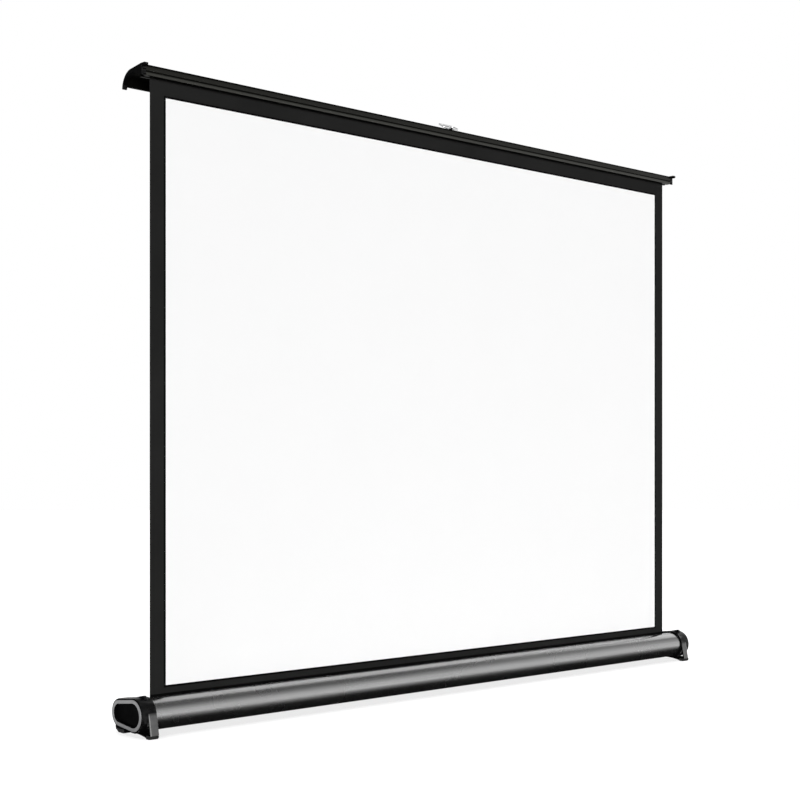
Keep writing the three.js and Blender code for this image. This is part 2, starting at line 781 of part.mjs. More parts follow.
// toothShift moves the teeth by a share of their pitch, so that two arms mesh.
function uprightArm(toothShiftShare) {
  const half = armWidth / 2;
  const bar = new THREE.Shape();
  bar.moveTo(-half, 0);
  bar.lineTo(-half, armLength);
  bar.absarc(0, armLength, half, Math.PI, 0, true);
  bar.lineTo(half, 0);
  bar.closePath();
  const pocketHalf = half - armFlange;
  const pocket = new THREE.Shape();
  pocket.absarc(0, armLength - armPocketStart, pocketHalf, 0, Math.PI, false);
  pocket.absarc(0, armPocketStart, pocketHalf, Math.PI, 2 * Math.PI, false);
  pocket.closePath();
  let shape = alongY(bar, 0, armThickness, smallSegments).add(
    rodY(0, 0, gearRootRadius, 0, armThickness, roundSegments),
  );
  const meshAngle = -Math.PI / 2 - restAngle;
  const sweepTeeth = Math.ceil((Math.PI / 2 - restAngle) / toothPitch);
  for (let i = -sweepTeeth - 1; i <= 1; i += 1) {
    const angle = meshAngle + (i + toothShiftShare) * toothPitch;
    shape = shape.add(alongY(tooth(angle), 0, armThickness));
  }
  return shape
    .subtract(alongY(pocket, armWeb, armThickness + cutOverrun, smallSegments))
    .subtract(rodY(0, 0, pivotRadius + pinGap, -cutOverrun, armThickness + cutOverrun))
    .subtract(rodY(0, armLength, pivotRadius + pinGap, -cutOverrun, armThickness + cutOverrun));
}

// Stands an upright arm on its pivot: lower arms rise from the base, upper arms hang from the lid.
function placedArm(name, toothShiftShare, side, isUpper) {
  const mesh = piece(name, uprightArm(toothShiftShare), blackSteel);
  mesh.rotation.y = restAngle;
  const flip = new THREE.Group();
  flip.add(mesh);
  flip.scale.set(side, 1, isUpper ? -1 : 1);
  flip.position.set(
    side * gearPitchRadius,
    isUpper ? upperLayerY : lowerLayerY,
    isUpper ? topPivotZ : basePivotZ,
  );
  return flip;
}

const meshedShareRight = 0;
const meshedShareLeft = 0.5;

function elbowPin() {
  const head = rodY(elbowX, elbowZ, pivotHeadRadius, lowerLayerY - restGap - pivotHeadHeight, lowerLayerY - restGap);
  const tail = rodY(
    elbowX,
    elbowZ,
    pivotHeadRadius,
    upperLayerBackY + restGap,
    upperLayerBackY + restGap + pivotHeadHeight,
  );
  const shaft = rodY(
    elbowX,
    elbowZ,
    pivotRadius,
    lowerLayerY - restGap - pivotHeadHeight / 2,
    upperLayerBackY + restGap + pivotHeadHeight / 2,
  );
  return joined([head, shaft, tail]);
}

function elbowWasher() {
  const from = lowerLayerBackY + restGap;
  const to = upperLayerY - restGap;
  return rodY(elbowX, elbowZ, washerRadius, from, to).subtract(
    rodY(elbowX, elbowZ, pivotRadius + pinGap, from - cutOverrun, to + cutOverrun),
  );
}

// Base bracket: a plate on the housing's divider, with the two lower pivots.
const baseBracketBackY = lowerLayerY - restGap;
const baseBracketFrontY = baseBracketBackY - bracketThickness;

function roundedPlate(fromX, toX, fromZ, toZ, corner) {
  const shape = new THREE.Shape();
  shape.absarc(toX - corner, toZ - corner, corner, 0, Math.PI / 2, false);
  shape.absarc(fromX + corner, toZ - corner, corner, Math.PI / 2, Math.PI, false);
  shape.absarc(fromX + corner, fromZ + corner, corner, Math.PI, 1.5 * Math.PI, false);
  shape.absarc(toX - corner, fromZ + corner, corner, 1.5 * Math.PI, 2 * Math.PI, false);
  shape.closePath();
  return shape;
}

function bracketScrewPlaces() {
  const middle = (baseBracketLowZ + baseBracketHighZ) / 2;
  return [-bracketScrewX, bracketScrewX].flatMap((x) => [
    [x, middle - bracketScrewSpread],
    [x, middle + bracketScrewSpread],
  ]);
}

function baseBracket() {
  const outline = roundedPlate(
    -baseBracketHalf,
    baseBracketHalf,
    baseBracketLowZ,
    baseBracketHighZ,
    baseBracketCorner,
  );
  const pinHoles = [-gearPitchRadius, gearPitchRadius].map((x) =>
    rodY(x, basePivotZ, pivotRadius + pinGap, baseBracketFrontY - cutOverrun, baseBracketBackY + cutOverrun),
  );
  const screwHoles = bracketScrewPlaces().map(([x, z]) =>
    rodY(x, z, screwShankRadius + pinGap, baseBracketFrontY - cutOverrun, baseBracketBackY + cutOverrun).add(
      rodY(
        x,
        z,
        bracketScrewHead + pinGap,
        baseBracketBackY - bracketScrewSink - pinGap,
        baseBracketBackY + cutOverrun,
      ),
    ),
  );
  return alongY(outline, baseBracketFrontY, baseBracketBackY, smallSegments)
    .subtract(joined(pinHoles))
    .subtract(joined(screwHoles));
}

function bracketScrew([x, z]) {
  const headY = baseBracketBackY - bracketScrewSink;
  return rodY(x, z, bracketScrewHead, headY, baseBracketBackY).add(
    rodY(x, z, screwShankRadius, channelFrontY - bracketScrewDepth, headY + bracketScrewSink / 2),
  );
}

// A headed pin through the base bracket and the lower arm's pivot.
function basePin() {
  const headY = lowerLayerBackY + restGap;
  return rodY(gearPitchRadius, basePivotZ, pivotRadius, baseBracketFrontY, headY + pivotHeadHeight / 2).add(
    rodY(gearPitchRadius, basePivotZ, pivotHeadRadius, headY, headY + pivotHeadHeight),
  );
}

// Top bracket: a plate behind the upper pivots, with two wings that curve forward under the lid's roof.
const topPlateY = upperLayerBackY + topBracketGap;
const topPlateBackY = topPlateY + bracketThickness;
const wingRadius = lidShoulderRadius - lidWall - restGap;
const wingFrontY = kederWallY + lidWall + restGap;
const plateTopZ =
  shoulderCentreZ + Math.sqrt(wingRadius ** 2 - (topPlateBackY - shoulderCentreY) ** 2);

function bracketWing() {
  const inner = wingRadius - bracketThickness;
  const outerEnd = Math.acos((topPlateBackY - shoulderCentreY) / wingRadius);
  const innerEnd = Math.acos((topPlateY - shoulderCentreY) / inner);
  const shape = new THREE.Shape();
  shape.moveTo(wingFrontY, shoulderCentreZ + wingRadius);
  shape.absarc(shoulderCentreY, shoulderCentreZ, wingRadius, Math.PI / 2, outerEnd, true);
  shape.lineTo(topPlateBackY, topPivotZ);
  shape.lineTo(topPlateY, topPivotZ);
  shape.absarc(shoulderCentreY, shoulderCentreZ, inner, innerEnd, Math.PI / 2, false);
  shape.lineTo(wingFrontY, shoulderCentreZ + inner);
  shape.closePath();
  return shape;
}

function topBracket() {
  const lowZ = topPivotZ - topBracketDrop;
  const outline = roundedPlate(-topBracketHalf, topBracketHalf, lowZ, plateTopZ, topBracketCorner);
  const plate = alongY(outline, topPlateY, topPlateBackY, smallSegments);
  const wings = alongX(bracketWing(), topWingInnerX, topBracketHalf, 0, smallSegments).add(
    alongX(bracketWing(), -topBracketHalf, -topWingInnerX, 0, smallSegments),
  );
  const holes = [-1, 1].map((side) =>
    rodY(
      side * gearPitchRadius,
      topPivotZ,
      pivotRadius + pinGap,
      topPlateY - cutOverrun,
      topPlateBackY + cutOverrun,
    ).add(rivetHole(side * topRivetX, topRivetY)),
  );
  return plate.add(wings).subtract(joined(holes));
}

// A headed pin through the top bracket and the upper arm's pivot.
function topPin() {
  const headY = upperLayerY - restGap - pivotHeadHeight;
  return rodY(gearPitchRadius, topPivotZ, pivotRadius, headY + pivotHeadHeight / 2, topPlateBackY).add(
    rodY(gearPitchRadius, topPivotZ, pivotHeadRadius, headY, headY + pivotHeadHeight),
  );
}

const rodZ = (x, y, radius, fromZ, toZ) => {
  const geometry = new THREE.CylinderGeometry(radius, radius, toZ - fromZ, 2 * smallSegments);
  geometry.rotateX(Math.PI / 2);
  geometry.translate(x, y, (fromZ + toZ) / 2);
  return solid(geometry);
};

// Outer surface of the lid's sloping roof at a given Y.
const roofOverZ = (y) => roofUnderZ(y) + lidWall;

function rivetHole(x, y) {
  return rodZ(x, y, rivetRadius + pinGap, kederZ, lidTopZ + cutOverrun);
}

// A blind rivet through the roof, between an upper head over topZ and a lower head under lowZ.
function rivet(x, y, lowZ, topZ) {
  return joined([
    rodZ(x, y, rivetRadius, lowZ - rivetHeadHeight / 2, topZ + rivetHeadHeight / 2),
    rodZ(x, y, rivetHeadRadius, topZ, topZ + rivetHeadHeight),
    rodZ(x, y, rivetHeadRadius, lowZ - rivetHeadHeight, lowZ),
  ]);
}

function bracketRivet() {
  const lowZ = shoulderCentreZ + wingRadius - bracketThickness - restGap;
  return rivet(topRivetX, topRivetY, lowZ, roofOverZ(topRivetY - rivetHeadRadius) + restGap);
}

function buildArms(group) {
  group.add(placedArm("lower_arm_right", meshedShareRight, 1, false));
  group.add(placedArm("lower_arm_left", meshedShareLeft, -1, false));
  group.add(placedArm("upper_arm_right", meshedShareRight, 1, true));
  group.add(placedArm("upper_arm_left", meshedShareLeft, -1, true));
  pair(group, "elbow_pin", elbowPin(), zincSteel);
  pair(group, "elbow_washer", elbowWasher(), glossBlack);
  pair(group, "base_pin", basePin(), zincSteel);
  pair(group, "top_pin", topPin(), zincSteel);
  group.add(piece("base_bracket", baseBracket(), blackSteel));
  group.add(piece("top_bracket", topBracket(), blackSteel));
  const screwNames = ["left_lower", "left_upper", "right_lower", "right_upper"];
  bracketScrewPlaces().forEach((place, i) => {
    group.add(piece(`bracket_screw_${screwNames[i]}`, bracketScrew(place), zincSteel));
  });
  pair(group, "bracket_rivet", bracketRivet(), zincSteel);
}

// Pull ring: a bent wire loop whose straight side turns in a lug on the lid's front top edge.
const ringAxisZ = lidTopZ + ringAxisRise;
const lugFootZ = lidTopZ + restGap;

function pullRing() {
  const half = ringWidth / 2;
  const outline = new THREE.Shape();
  outline.absarc(half - ringWire, ringWire, ringWire, -Math.PI / 2, 0, false);
  outline.absarc(half - ringCorner, ringDepth - ringCorner, ringCorner, 0, Math.PI / 2, false);
  outline.absarc(ringCorner - half, ringDepth - ringCorner, ringCorner, Math.PI / 2, Math.PI, false);
  outline.absarc(ringWire - half, ringWire, ringWire, Math.PI, 1.5 * Math.PI, false);
  const points = outline.getPoints(smallSegments).map(({ x, y }) => new THREE.Vector3(x, y, 0));
  const loop = new THREE.CatmullRomCurve3(points, true, "catmullrom", 0);
  const geometry = new THREE.TubeGeometry(loop, 2 * points.length, ringWire / 2, wireSegments, true);
  geometry.rotateX(THREE.MathUtils.degToRad(ringTilt));
  geometry.translate(ringCentreX, ringAxisY, ringAxisZ);
  return solid(geometry);
}

function lugRivetPlaces() {
  return [-1, 1].map((side) => [ringCentreX + side * lugRivetX, ringAxisY + lugRivetBack]);
}

function ringLug() {
  const backY = ringAxisY + lugFlangeBack;
  const tongue = new THREE.Shape();
  tongue.moveTo(ringAxisY - lugRadius, lugFootZ);
  tongue.lineTo(ringAxisY + 2 * lugRadius, lugFootZ);
  tongue.lineTo(ringAxisY + lugRadius, ringAxisZ);
  tongue.absarc(ringAxisY, ringAxisZ, lugRadius, 0, Math.PI, false);
  tongue.closePath();
  const bore = rodX(ringAxisY, ringAxisZ, ringWire / 2 + pinGap, ringCentreX - lugWidth, ringCentreX + lugWidth);
  const holes = lugRivetPlaces().map(([x, y]) => rivetHole(x, y));
  return alongX(tongue, ringCentreX - lugWidth / 2, ringCentreX + lugWidth / 2, 0, smallSegments)
    .add(
      block(
        ringCentreX - lugFlangeWidth / 2,
        ringCentreX + lugFlangeWidth / 2,
        ringAxisY + lugRadius / 2,
        backY,
        lugFootZ,
        lugFootZ + lugFlangeHeight,
      ),
    )
    .subtract(bore)
    .subtract(joined(holes));
}

function lugRivet([x, y]) {
  return rivet(x, y, roofUnderZ(y + rivetHeadRadius) - restGap, lugFootZ + lugFlangeHeight + restGap);
}

function buildPullRing(group) {
  group.add(piece("pull_ring", pullRing(), chrome));
  group.add(piece("ring_lug", ringLug(), glossBlack));
  lugRivetPlaces().forEach((place, i) => {
    group.add(piece(`lug_rivet_${["left", "right"][i]}`, lugRivet(place), zincSteel));
  });
}

const screen = new THREE.Group();
screen.name = "tabletop_projector_screen";
buildHousing(screen);
buildRoller(screen);
buildLid(screen);
buildArms(screen);
buildPullRing(screen);

export default screen;
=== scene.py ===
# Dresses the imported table-top projector screen: finishes, the cloth, a pale studio and a camera.
import json
import math

import bmesh
import bpy
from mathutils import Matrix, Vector

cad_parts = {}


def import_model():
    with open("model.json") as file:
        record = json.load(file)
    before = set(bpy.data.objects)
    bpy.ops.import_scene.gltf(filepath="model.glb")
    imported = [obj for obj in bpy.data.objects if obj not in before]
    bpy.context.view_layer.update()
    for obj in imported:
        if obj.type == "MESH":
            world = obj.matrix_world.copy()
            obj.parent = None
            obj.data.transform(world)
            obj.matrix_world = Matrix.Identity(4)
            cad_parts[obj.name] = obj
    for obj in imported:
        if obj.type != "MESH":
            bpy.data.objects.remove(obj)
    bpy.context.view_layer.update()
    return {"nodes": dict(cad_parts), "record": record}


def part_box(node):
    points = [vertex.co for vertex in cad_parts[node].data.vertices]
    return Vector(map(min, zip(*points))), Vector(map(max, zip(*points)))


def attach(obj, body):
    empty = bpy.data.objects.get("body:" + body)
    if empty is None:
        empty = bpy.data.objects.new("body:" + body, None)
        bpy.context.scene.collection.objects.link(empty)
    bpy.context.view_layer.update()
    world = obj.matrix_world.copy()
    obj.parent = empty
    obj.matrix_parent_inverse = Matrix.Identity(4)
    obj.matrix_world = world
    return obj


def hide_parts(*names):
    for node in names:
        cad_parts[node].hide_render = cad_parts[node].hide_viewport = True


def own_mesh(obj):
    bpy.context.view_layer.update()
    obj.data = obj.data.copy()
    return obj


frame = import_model()

MM = 0.001

# The printed picture area on the cloth
PICTURE_LEFT = -0.5060
PICTURE_RIGHT = 0.5080
PICTURE_LOW = 0.0603
PICTURE_HIGH = 0.8215

# The black printed line round the picture, and the black along the cloth's foot where it leaves the
# housing
PRINT_LINE = 0.0028
CLOTH_FOOT_BLACK_TOP = 0.0500

# The cloth's threads, the cuts across its sheet, and its closed height as a share of its raised height
THREADS_PER_METRE = 1600.0
CLOTH_CUTS = 7

# Each pair of cloth colours is what a faint cloudiness goes between
PICTURE_WHITES = ((0.93, 0.93, 0.93, 1.0), (0.937, 0.937, 0.937, 1.0))
BORDER_BLACKS = ((0.0135, 0.0135, 0.0133, 1.0), (0.018, 0.018, 0.0177, 1.0))
PRINT_BLACK = (0.002, 0.002, 0.002, 1.0)
BACKING_BLACK = (0.012, 0.012, 0.0125)

# Width of the black chamfer inside a trim ring
RING_CHAMFER = 0.0009

# The satin front of an end cap's toe, with painted shade that darkens it towards its top, and the round on
# its outer corner, painted pale as a highlight
TOE_WIDTH = 0.012
TOE_TOP = 0.0326
TOE_FOOT = 0.0045
TOE_FRONT_Y = -0.033
TOE_PAINTED_SHADE_FROM = 0.0285
TOE_PAINTED_SHADE_TO = 0.1
TOE_CORNER = 0.0013

# The flat that the lid's ribs stand on, the groove between them, the tops of their bright crests, and the
# middle of the lid's hollow
LID_FLAT_Y = -0.01105
LID_GROOVE_Z = 0.8496
LOWER_CREST_TOP = 0.8481
UPPER_CREST_TOP = 0.8552
LID_HOLLOW_Y = 0.012
LID_HOLLOW_Z = 0.842

# How far a face's normal leans along an axis for the face to count as facing that way
SQUARELY = 0.9
MOSTLY = 0.8
HALF = 0.5
DOWNWARD = -0.3

# Distances under which points are one, a cut keeps to a point that is there, and a point lies on a plane
SAME_POINT = 0.002 * MM
CUT_SNAP = 0.01 * MM
ON_PLANE = 0.05 * MM

# Angles in degrees: flats that are joined up, corners that are eased, and the toe's corner
FLAT_ANGLE = 0.4
EASED_ANGLE = 32.0
TOE_CORNER_ANGLE = 30.0

# The usual range of a noise, how rough its fine detail is, and how it stretches along a piece
NOISE_LOW = 0.3
NOISE_HIGH = 0.7
NOISE_ROUGHNESS = 0.55
EVEN = (1.0, 1.0, 1.0)
DRAWN = (0.01, 1.0, 1.0)
WOUND = (0.2, 1.0, 1.0)

# The warm cast of the lid's black finish
WARM_SHEEN = (1.0, 1.0, 0.9, 1.0)


# Node trees


class Value:
    """One number or colour in a node tree. Arithmetic on numbers adds the Math nodes."""

    def __init__(self, nodes, socket):
        self.nodes = nodes
        self.socket = socket

    def math(self, operation, *others):
        return self.nodes.node("ShaderNodeMath", {"operation": operation}, [self, *others])

    def __add__(self, other):
        return self.math("ADD", other)

    __radd__ = __add__

    def __sub__(self, other):
        return self.math("SUBTRACT", other)

    def __rsub__(self, other):
        return self.nodes.node("ShaderNodeMath", {"operation": "SUBTRACT"}, [other, self])

    def __mul__(self, other):
        return self.math("MULTIPLY", other)

    __rmul__ = __mul__

    def __gt__(self, other):
        return self.math("GREATER_THAN", other)

    def __lt__(self, other):
        return self.math("LESS_THAN", other)


class Nodes:
    """A node tree under construction, with one method that adds any node."""

    def __init__(self, tree):
        self.tree = tree

    def node(self, kind, settings, sockets, output=0):
        made = self.tree.nodes.new(kind)
        for setting, value in settings.items():
            setattr(made, setting, value)
        named = sockets.items() if isinstance(sockets, dict) else enumerate(sockets)
        for socket, value in named:
            if isinstance(value, Value):
                self.tree.links.new(value.socket, made.inputs[socket])
            else:
                made.inputs[socket].default_value = value
        return None if output is None else Value(self, made.outputs[output])

    def ramp(self, value, low, high, first=0.0, last=1.0, curve="LINEAR"):
        """Maps the range from low to high on to the one from first to last."""
        ends = {"Value": value, "From Min": low, "From Max": high, "To Min": first, "To Max": last}
        return self.node("ShaderNodeMapRange", {"interpolation_type": curve}, ends)

    def blend(self, share, first, second):
        """A colour that goes from first to second as share goes from 0 to 1."""
        return self.node("ShaderNodeMix", {"data_type": "RGBA"}, {0: share, 6: first, 7: second}, 2)

    def coordinate(self, kind, axis):
        """One coordinate of the place that is shaded."""
        at = self.node("ShaderNodeTexCoord", {}, {}, kind)
        return self.node("ShaderNodeSeparateXYZ", {}, [at], axis)


class Finish(Nodes):
    """The node tree of a piece's material."""

    def __init__(self, name, colour, roughness, metallic=0.0, **fixed):
        self.material = bpy.data.materials.new(name)
        self.material.use_nodes = True
        super().__init__(self.material.node_tree)
        self.shader = self.tree.nodes["Principled BSDF"]
        self.colour = colour
        self.roughness = roughness
        self.set("Base Color", (*colour, 1.0))
        self.set("Roughness", roughness)
        self.set("Metallic", metallic)
        for socket, value in fixed.items():
            self.set(socket.replace("_", " "), value)

    def set(self, socket, value):
        if isinstance(value, Value):
            self.tree.links.new(value.socket, self.shader.inputs[socket])
        else:
            self.shader.inputs[socket].default_value = value

    def noise(self, scale, detail=3.0, stretch=EVEN):
        """Noise over the piece's own coordinates."""
        at = self.node("ShaderNodeTexCoord", {}, {}, "Object")
        stretched = self.node("ShaderNodeMapping", {}, {"Vector": at, "Scale": stretch})
        sockets = {"Vector": stretched, "Scale": scale, "Detail": detail, "Roughness": NOISE_ROUGHNESS}
        return self.node("ShaderNodeTexNoise", {}, sockets, "Fac")

    def spread(self, noise, low=0.0, high=1.0):
        """Maps a noise's usual range on to low to high."""
        return self.ramp(noise, NOISE_LOW, NOISE_HIGH, low, high)

    def tone(self, noise, low, high):
        """Base colour that varies between two shares of itself."""
        dark = tuple(part * low for part in self.colour) + (1.0,)
        light = tuple(part * high for part in self.colour) + (1.0,)
        self.set("Base Color", self.blend(self.spread(noise), dark, light))

    def vary_roughness(self, noise, by):
        self.set("Roughness", self.spread(noise, self.roughness - by, self.roughness + by))

    def relief(self, height, distance, strength=1.0):
        sockets = {"Height": height, "Distance": distance, "Strength": strength}
        self.set("Normal", self.node("ShaderNodeBump", {}, sockets))


class Stage(Nodes):
    """The node tree of the floor or the backdrop, started afresh."""

    def __init__(self, tree):
        super().__init__(tree)
        tree.nodes.clear()

    def rays(self, first, *others):
        """One for rays of any of these kinds."""
        found = self.node("ShaderNodeLightPath", {}, {}, first)
        for kind in others:
            found = found.math("MAXIMUM", self.node("ShaderNodeLightPath", {}, {}, kind))
        return found

    def beyond(self, axis, half):
        """How far a place on the floor is outside the object's half width along an axis."""
        return self.coordinate("Object", axis).math("ABSOLUTE") - half


# Finishes


def extruded_silver():
    finish = Finish("silver_anodised", colour=(0.392, 0.392, 0.392), roughness=0.27, metallic=1.0)
    lines = finish.noise(scale=900.0, detail=4.0, stretch=DRAWN)
    finish.tone(lines, low=0.94, high=1.04)
    finish.vary_roughness(finish.noise(scale=9.0), by=0.03)
    finish.relief(lines, distance=0.02 * MM)
    return finish.material


def extruded_black(name, gloss):
    black = (0.0024, 0.0024, 0.002)
    finish = Finish(name, black, roughness=0.3, Specular_IOR_Level=gloss, Specular_Tint=WARM_SHEEN)
    lines = finish.noise(scale=900.0, detail=4.0, stretch=DRAWN)
    finish.tone(lines, low=0.85, high=1.2)
    finish.vary_roughness(finish.noise(scale=14.0), by=0.04)
    finish.relief(lines, distance=0.02 * MM)
    return finish.material


def moulded_black():
    black = (0.004, 0.004, 0.0042)
    finish = Finish("gloss_black_plastic", black, roughness=0.3, Specular_IOR_Level=0.2)
    finish.tone(finish.noise(scale=30.0), low=0.8, high=1.25)
    finish.vary_roughness(finish.noise(scale=60.0, detail=4.0), by=0.05)
    finish.relief(finish.noise(scale=1400.0, detail=2.0), distance=0.01 * MM)
    return finish.material


def matte_black():
    black = (0.002, 0.002, 0.0021)
    finish = Finish("matte_black_plastic", black, roughness=0.6, Specular_IOR_Level=0.01)
    finish.tone(finish.noise(scale=80.0, detail=4.0), low=0.8, high=1.3)
    finish.vary_roughness(finish.noise(scale=300.0), by=0.06)
    finish.relief(finish.noise(scale=1700.0), distance=0.03 * MM)
    return finish.material


def toe_satin_with_painted_shade(name, shade):
    """A toe's satin grey, with painted shade that fades it towards black at the toe's top."""
    finish = Finish(name, colour=(shade, shade, shade), roughness=0.36, Specular_IOR_Level=0.4)
    tone = finish.spread(finish.noise(scale=160.0, detail=4.0), shade * 0.85, shade * 1.15)
    height = finish.coordinate("Object", 2)
    # painted shade: the grey darkens towards the toe's top
    grey = tone * finish.ramp(height, TOE_PAINTED_SHADE_FROM, TOE_TOP, 1.0, TOE_PAINTED_SHADE_TO)
    finish.set("Base Color", finish.node("ShaderNodeCombineColor", {}, [grey, grey, grey]))
    finish.vary_roughness(finish.noise(scale=120.0, detail=4.0), by=0.06)
    finish.relief(finish.noise(scale=1500.0), distance=0.02 * MM)
    return finish.material


def satin_trim():
    finish = Finish("satin_grey_trim", colour=(0.26, 0.26, 0.265), roughness=0.4, metallic=0.35)
    finish.tone(finish.noise(scale=240.0), low=0.92, high=1.08)
    finish.vary_roughness(finish.noise(scale=90.0), by=0.05)
    finish.relief(finish.noise(scale=1800.0, detail=2.0), distance=0.01 * MM)
    return finish.material


def coated_steel():
    finish = Finish("black_coated_steel", colour=(0.02, 0.02, 0.021), roughness=0.5)
    finish.tone(finish.noise(scale=60.0, detail=4.0), low=0.8, high=1.25)
    finish.vary_roughness(finish.noise(scale=200.0), by=0.07)
    finish.relief(finish.noise(scale=1500.0), distance=0.02 * MM)
    return finish.material


def zinc():
    finish = Finish("zinc_plate", colour=(0.62, 0.63, 0.64), roughness=0.34, metallic=1.0)
    finish.tone(finish.noise(scale=300.0, detail=4.0), low=0.88, high=1.06)
    finish.vary_roughness(finish.noise(scale=160.0), by=0.06)
    finish.relief(finish.noise(scale=1200.0), distance=0.01 * MM)
    return finish.material


def chromed_wire():
    finish = Finish("chrome_wire", colour=(0.92, 0.925, 0.93), roughness=0.3, metallic=0.7)
    finish.tone(finish.noise(scale=200.0), low=0.95, high=1.03)
    finish.vary_roughness(finish.noise(scale=400.0), by=0.03)
    finish.relief(finish.noise(scale=900.0, detail=2.0), distance=0.005 * MM)
    return finish.material


def sole_rubber():
    finish = Finish("black_rubber", colour=(0.008, 0.008, 0.008), roughness=0.75)
    finish.tone(finish.noise(scale=150.0, detail=4.0), low=0.8, high=1.3)
    finish.vary_roughness(finish.noise(scale=300.0), by=0.08)
    finish.relief(finish.noise(scale=1600.0), distance=0.03 * MM)
    return finish.material


def weave(finish):
    """Places across and along the flat cloth, and the height of two sets of threads that cross on it."""
    flat = finish.node("ShaderNodeUVMap", {"uv_map": "flat"}, {})
    across, along = (finish.node("ShaderNodeSeparateXYZ", {}, [flat], axis) for axis in (0, 1))
    turn = 2 * math.pi * THREADS_PER_METRE
    return across, along, (across * turn).math("SINE") * (along * turn).math("SINE")


def picture_cloth():
    """White inside a black border, with a darker printed line round the picture and black along the
    cloth's foot below it.
    """
    white = (0.93, 0.93, 0.925)
    finish = Finish("matte_white_cloth", white, roughness=0.9, Specular_IOR_Level=0.03)
    across, along, threads = weave(finish)
    cloud = finish.spread(finish.noise(scale=7.0))

    def picture(margin):
        """One in the picture area when that is grown by a margin on every side."""
        wide = (across > PICTURE_LEFT - margin) * (across < PICTURE_RIGHT + margin)
        return wide * (along > PICTURE_LOW - margin) * (along < PICTURE_HIGH + margin)

    # the darkest black goes on the line round the picture and along the cloth's foot
    printed = (picture(PRINT_LINE) + (along < CLOTH_FOOT_BLACK_TOP)).math("MINIMUM", 1.0)
    border = finish.blend(printed, finish.blend(cloud, *BORDER_BLACKS), PRINT_BLACK)
    finish.set("Base Color", finish.blend(picture(0.0), border, finish.blend(cloud, *PICTURE_WHITES)))
    finish.relief(threads, distance=0.03 * MM, strength=0.5)
    return finish.material


def backing_cloth():
    finish = Finish("black_backing", BACKING_BLACK, roughness=0.8)
    finish.tone(finish.noise(scale=12.0, detail=4.0), low=0.85, high=1.2)
    finish.relief(weave(finish)[2], distance=0.05 * MM, strength=0.6)
    return finish.material


def wound_backing():
    finish = Finish("wound_backing", BACKING_BLACK, roughness=0.8)
    finish.tone(finish.noise(scale=40.0, detail=4.0, stretch=WOUND), low=0.8, high=1.25)
    finish.relief(finish.noise(scale=1500.0, detail=2.0), distance=0.03 * MM)
    return finish.material


FINISHES = {
    "silver_aluminium": extruded_silver(),
    "black_aluminium": extruded_black("black_anodised", gloss=0.22),
    "black_plastic": moulded_black(),
    "grey_trim": satin_trim(),
    "black_steel": coated_steel(),
    "zinc_steel": zinc(),
    "chrome_wire": chromed_wire(),
    "rubber": sole_rubber(),
}
MATTE_PLASTIC = matte_black()

# The pieces with several finishes or one of their own, and below them the places in their lists
OWN_FINISHES = {
    "end_cap": [
        FINISHES["black_plastic"],
        MATTE_PLASTIC,
        toe_satin_with_painted_shade("satin_toe_painted_shade", shade=0.092),
        # the toe's corner is painted pale grey as a highlight
        toe_satin_with_painted_shade("toe_corner_painted_highlight", shade=0.26),
    ],
    "lid_extrusion": [
        FINISHES["black_aluminium"],
        extruded_black("dull_black_anodised", gloss=0.02),
        extruded_black("bright_black_anodised", gloss=0.55),
    ],
    "lid_cap": [FINISHES["black_plastic"], MATTE_PLASTIC],
    "cap_ring": [FINISHES["grey_trim"], MATTE_PLASTIC],
    "cap_plate": [MATTE_PLASTIC],
}
GENERAL = 0
DULL = 1
BRIGHT = 2
TOE = 2
PAINTED_HIGHLIGHT = 3


# Faces with a finish of their own


def inward(face, y, z):
    """Whether a face looks towards the line along x at y and z."""
    middle = face.calc_center_median()
    return face.normal.y * (y - middle.y) + face.normal.z * (z - middle.z) > 0.0


def cut(shape, place, along):
    """Cuts a shape's faces where a plane crosses them."""
    whole = shape.verts[:] + shape.edges[:] + shape.faces[:]
    bmesh.ops.bisect_plane(shape, geom=whole, dist=CUT_SNAP, plane_co=place, plane_no=along)


def rounded(shape, edges, width, segments, finish):
    """Bevels some edges of a shape and gives the new faces one of its finishes."""
    made = bmesh.ops.bevel(
        shape,
        geom=edges,
        offset=width,
        offset_type="OFFSET",
        affect="EDGES",
        segments=segments,
        profile=0.5,
        material=-1,
    )
    for face in made["faces"]:
        face.material_index = finish


def cap_faces(shape):
    """An end cap has a glossy barrel, dull sides, and a satin toe with painted shade at its top and a
    painted highlight on its rounded corner.
    """
    inner = min(abs(vertex.co.x) for vertex in shape.verts)
    side = math.copysign(1.0, sum(vertex.co.x for vertex in shape.verts))
    toe_edge = inner + TOE_WIDTH
    cut(shape, (side * toe_edge, 0.0, 0.0), (1.0, 0.0, 0.0))
    cut(shape, (0.0, 0.0, TOE_TOP), (0.0, 0.0, 1.0))

    def on_corner(vertex):
        beside = abs(abs(vertex.co.x) - toe_edge) < ON_PLANE
        return beside and vertex.co.y < TOE_FRONT_Y and TOE_FOOT < vertex.co.z < TOE_TOP + ON_PLANE

    for face in shape.faces:
        middle = face.calc_center_median()
        in_toe = middle.z < TOE_TOP and middle.y < TOE_FRONT_Y and abs(middle.x) < toe_edge
        if abs(face.normal.x) > MOSTLY:
            face.material_index = DULL
        elif in_toe and face.normal.y < -MOSTLY:
            face.material_index = TOE
    corner = [
        edge
        for edge in shape.edges
        if all(on_corner(vertex) for vertex in edge.verts)
        and edge.calc_face_angle(0.0) > math.radians(TOE_CORNER_ANGLE)
        and any(face.material_index == TOE for face in edge.link_faces)
    ]
    # the rounded corner of the toe takes the pale finish of a painted highlight
    rounded(shape, corner, TOE_CORNER, segments=3, finish=PAINTED_HIGHLIGHT)


def lid_cap_faces(shape):
    """A lid cap is dull on its sides and under its arch."""
    for face in shape.faces:
        if abs(face.normal.x) > MOSTLY or face.normal.z < DOWNWARD:
            face.material_index = DULL


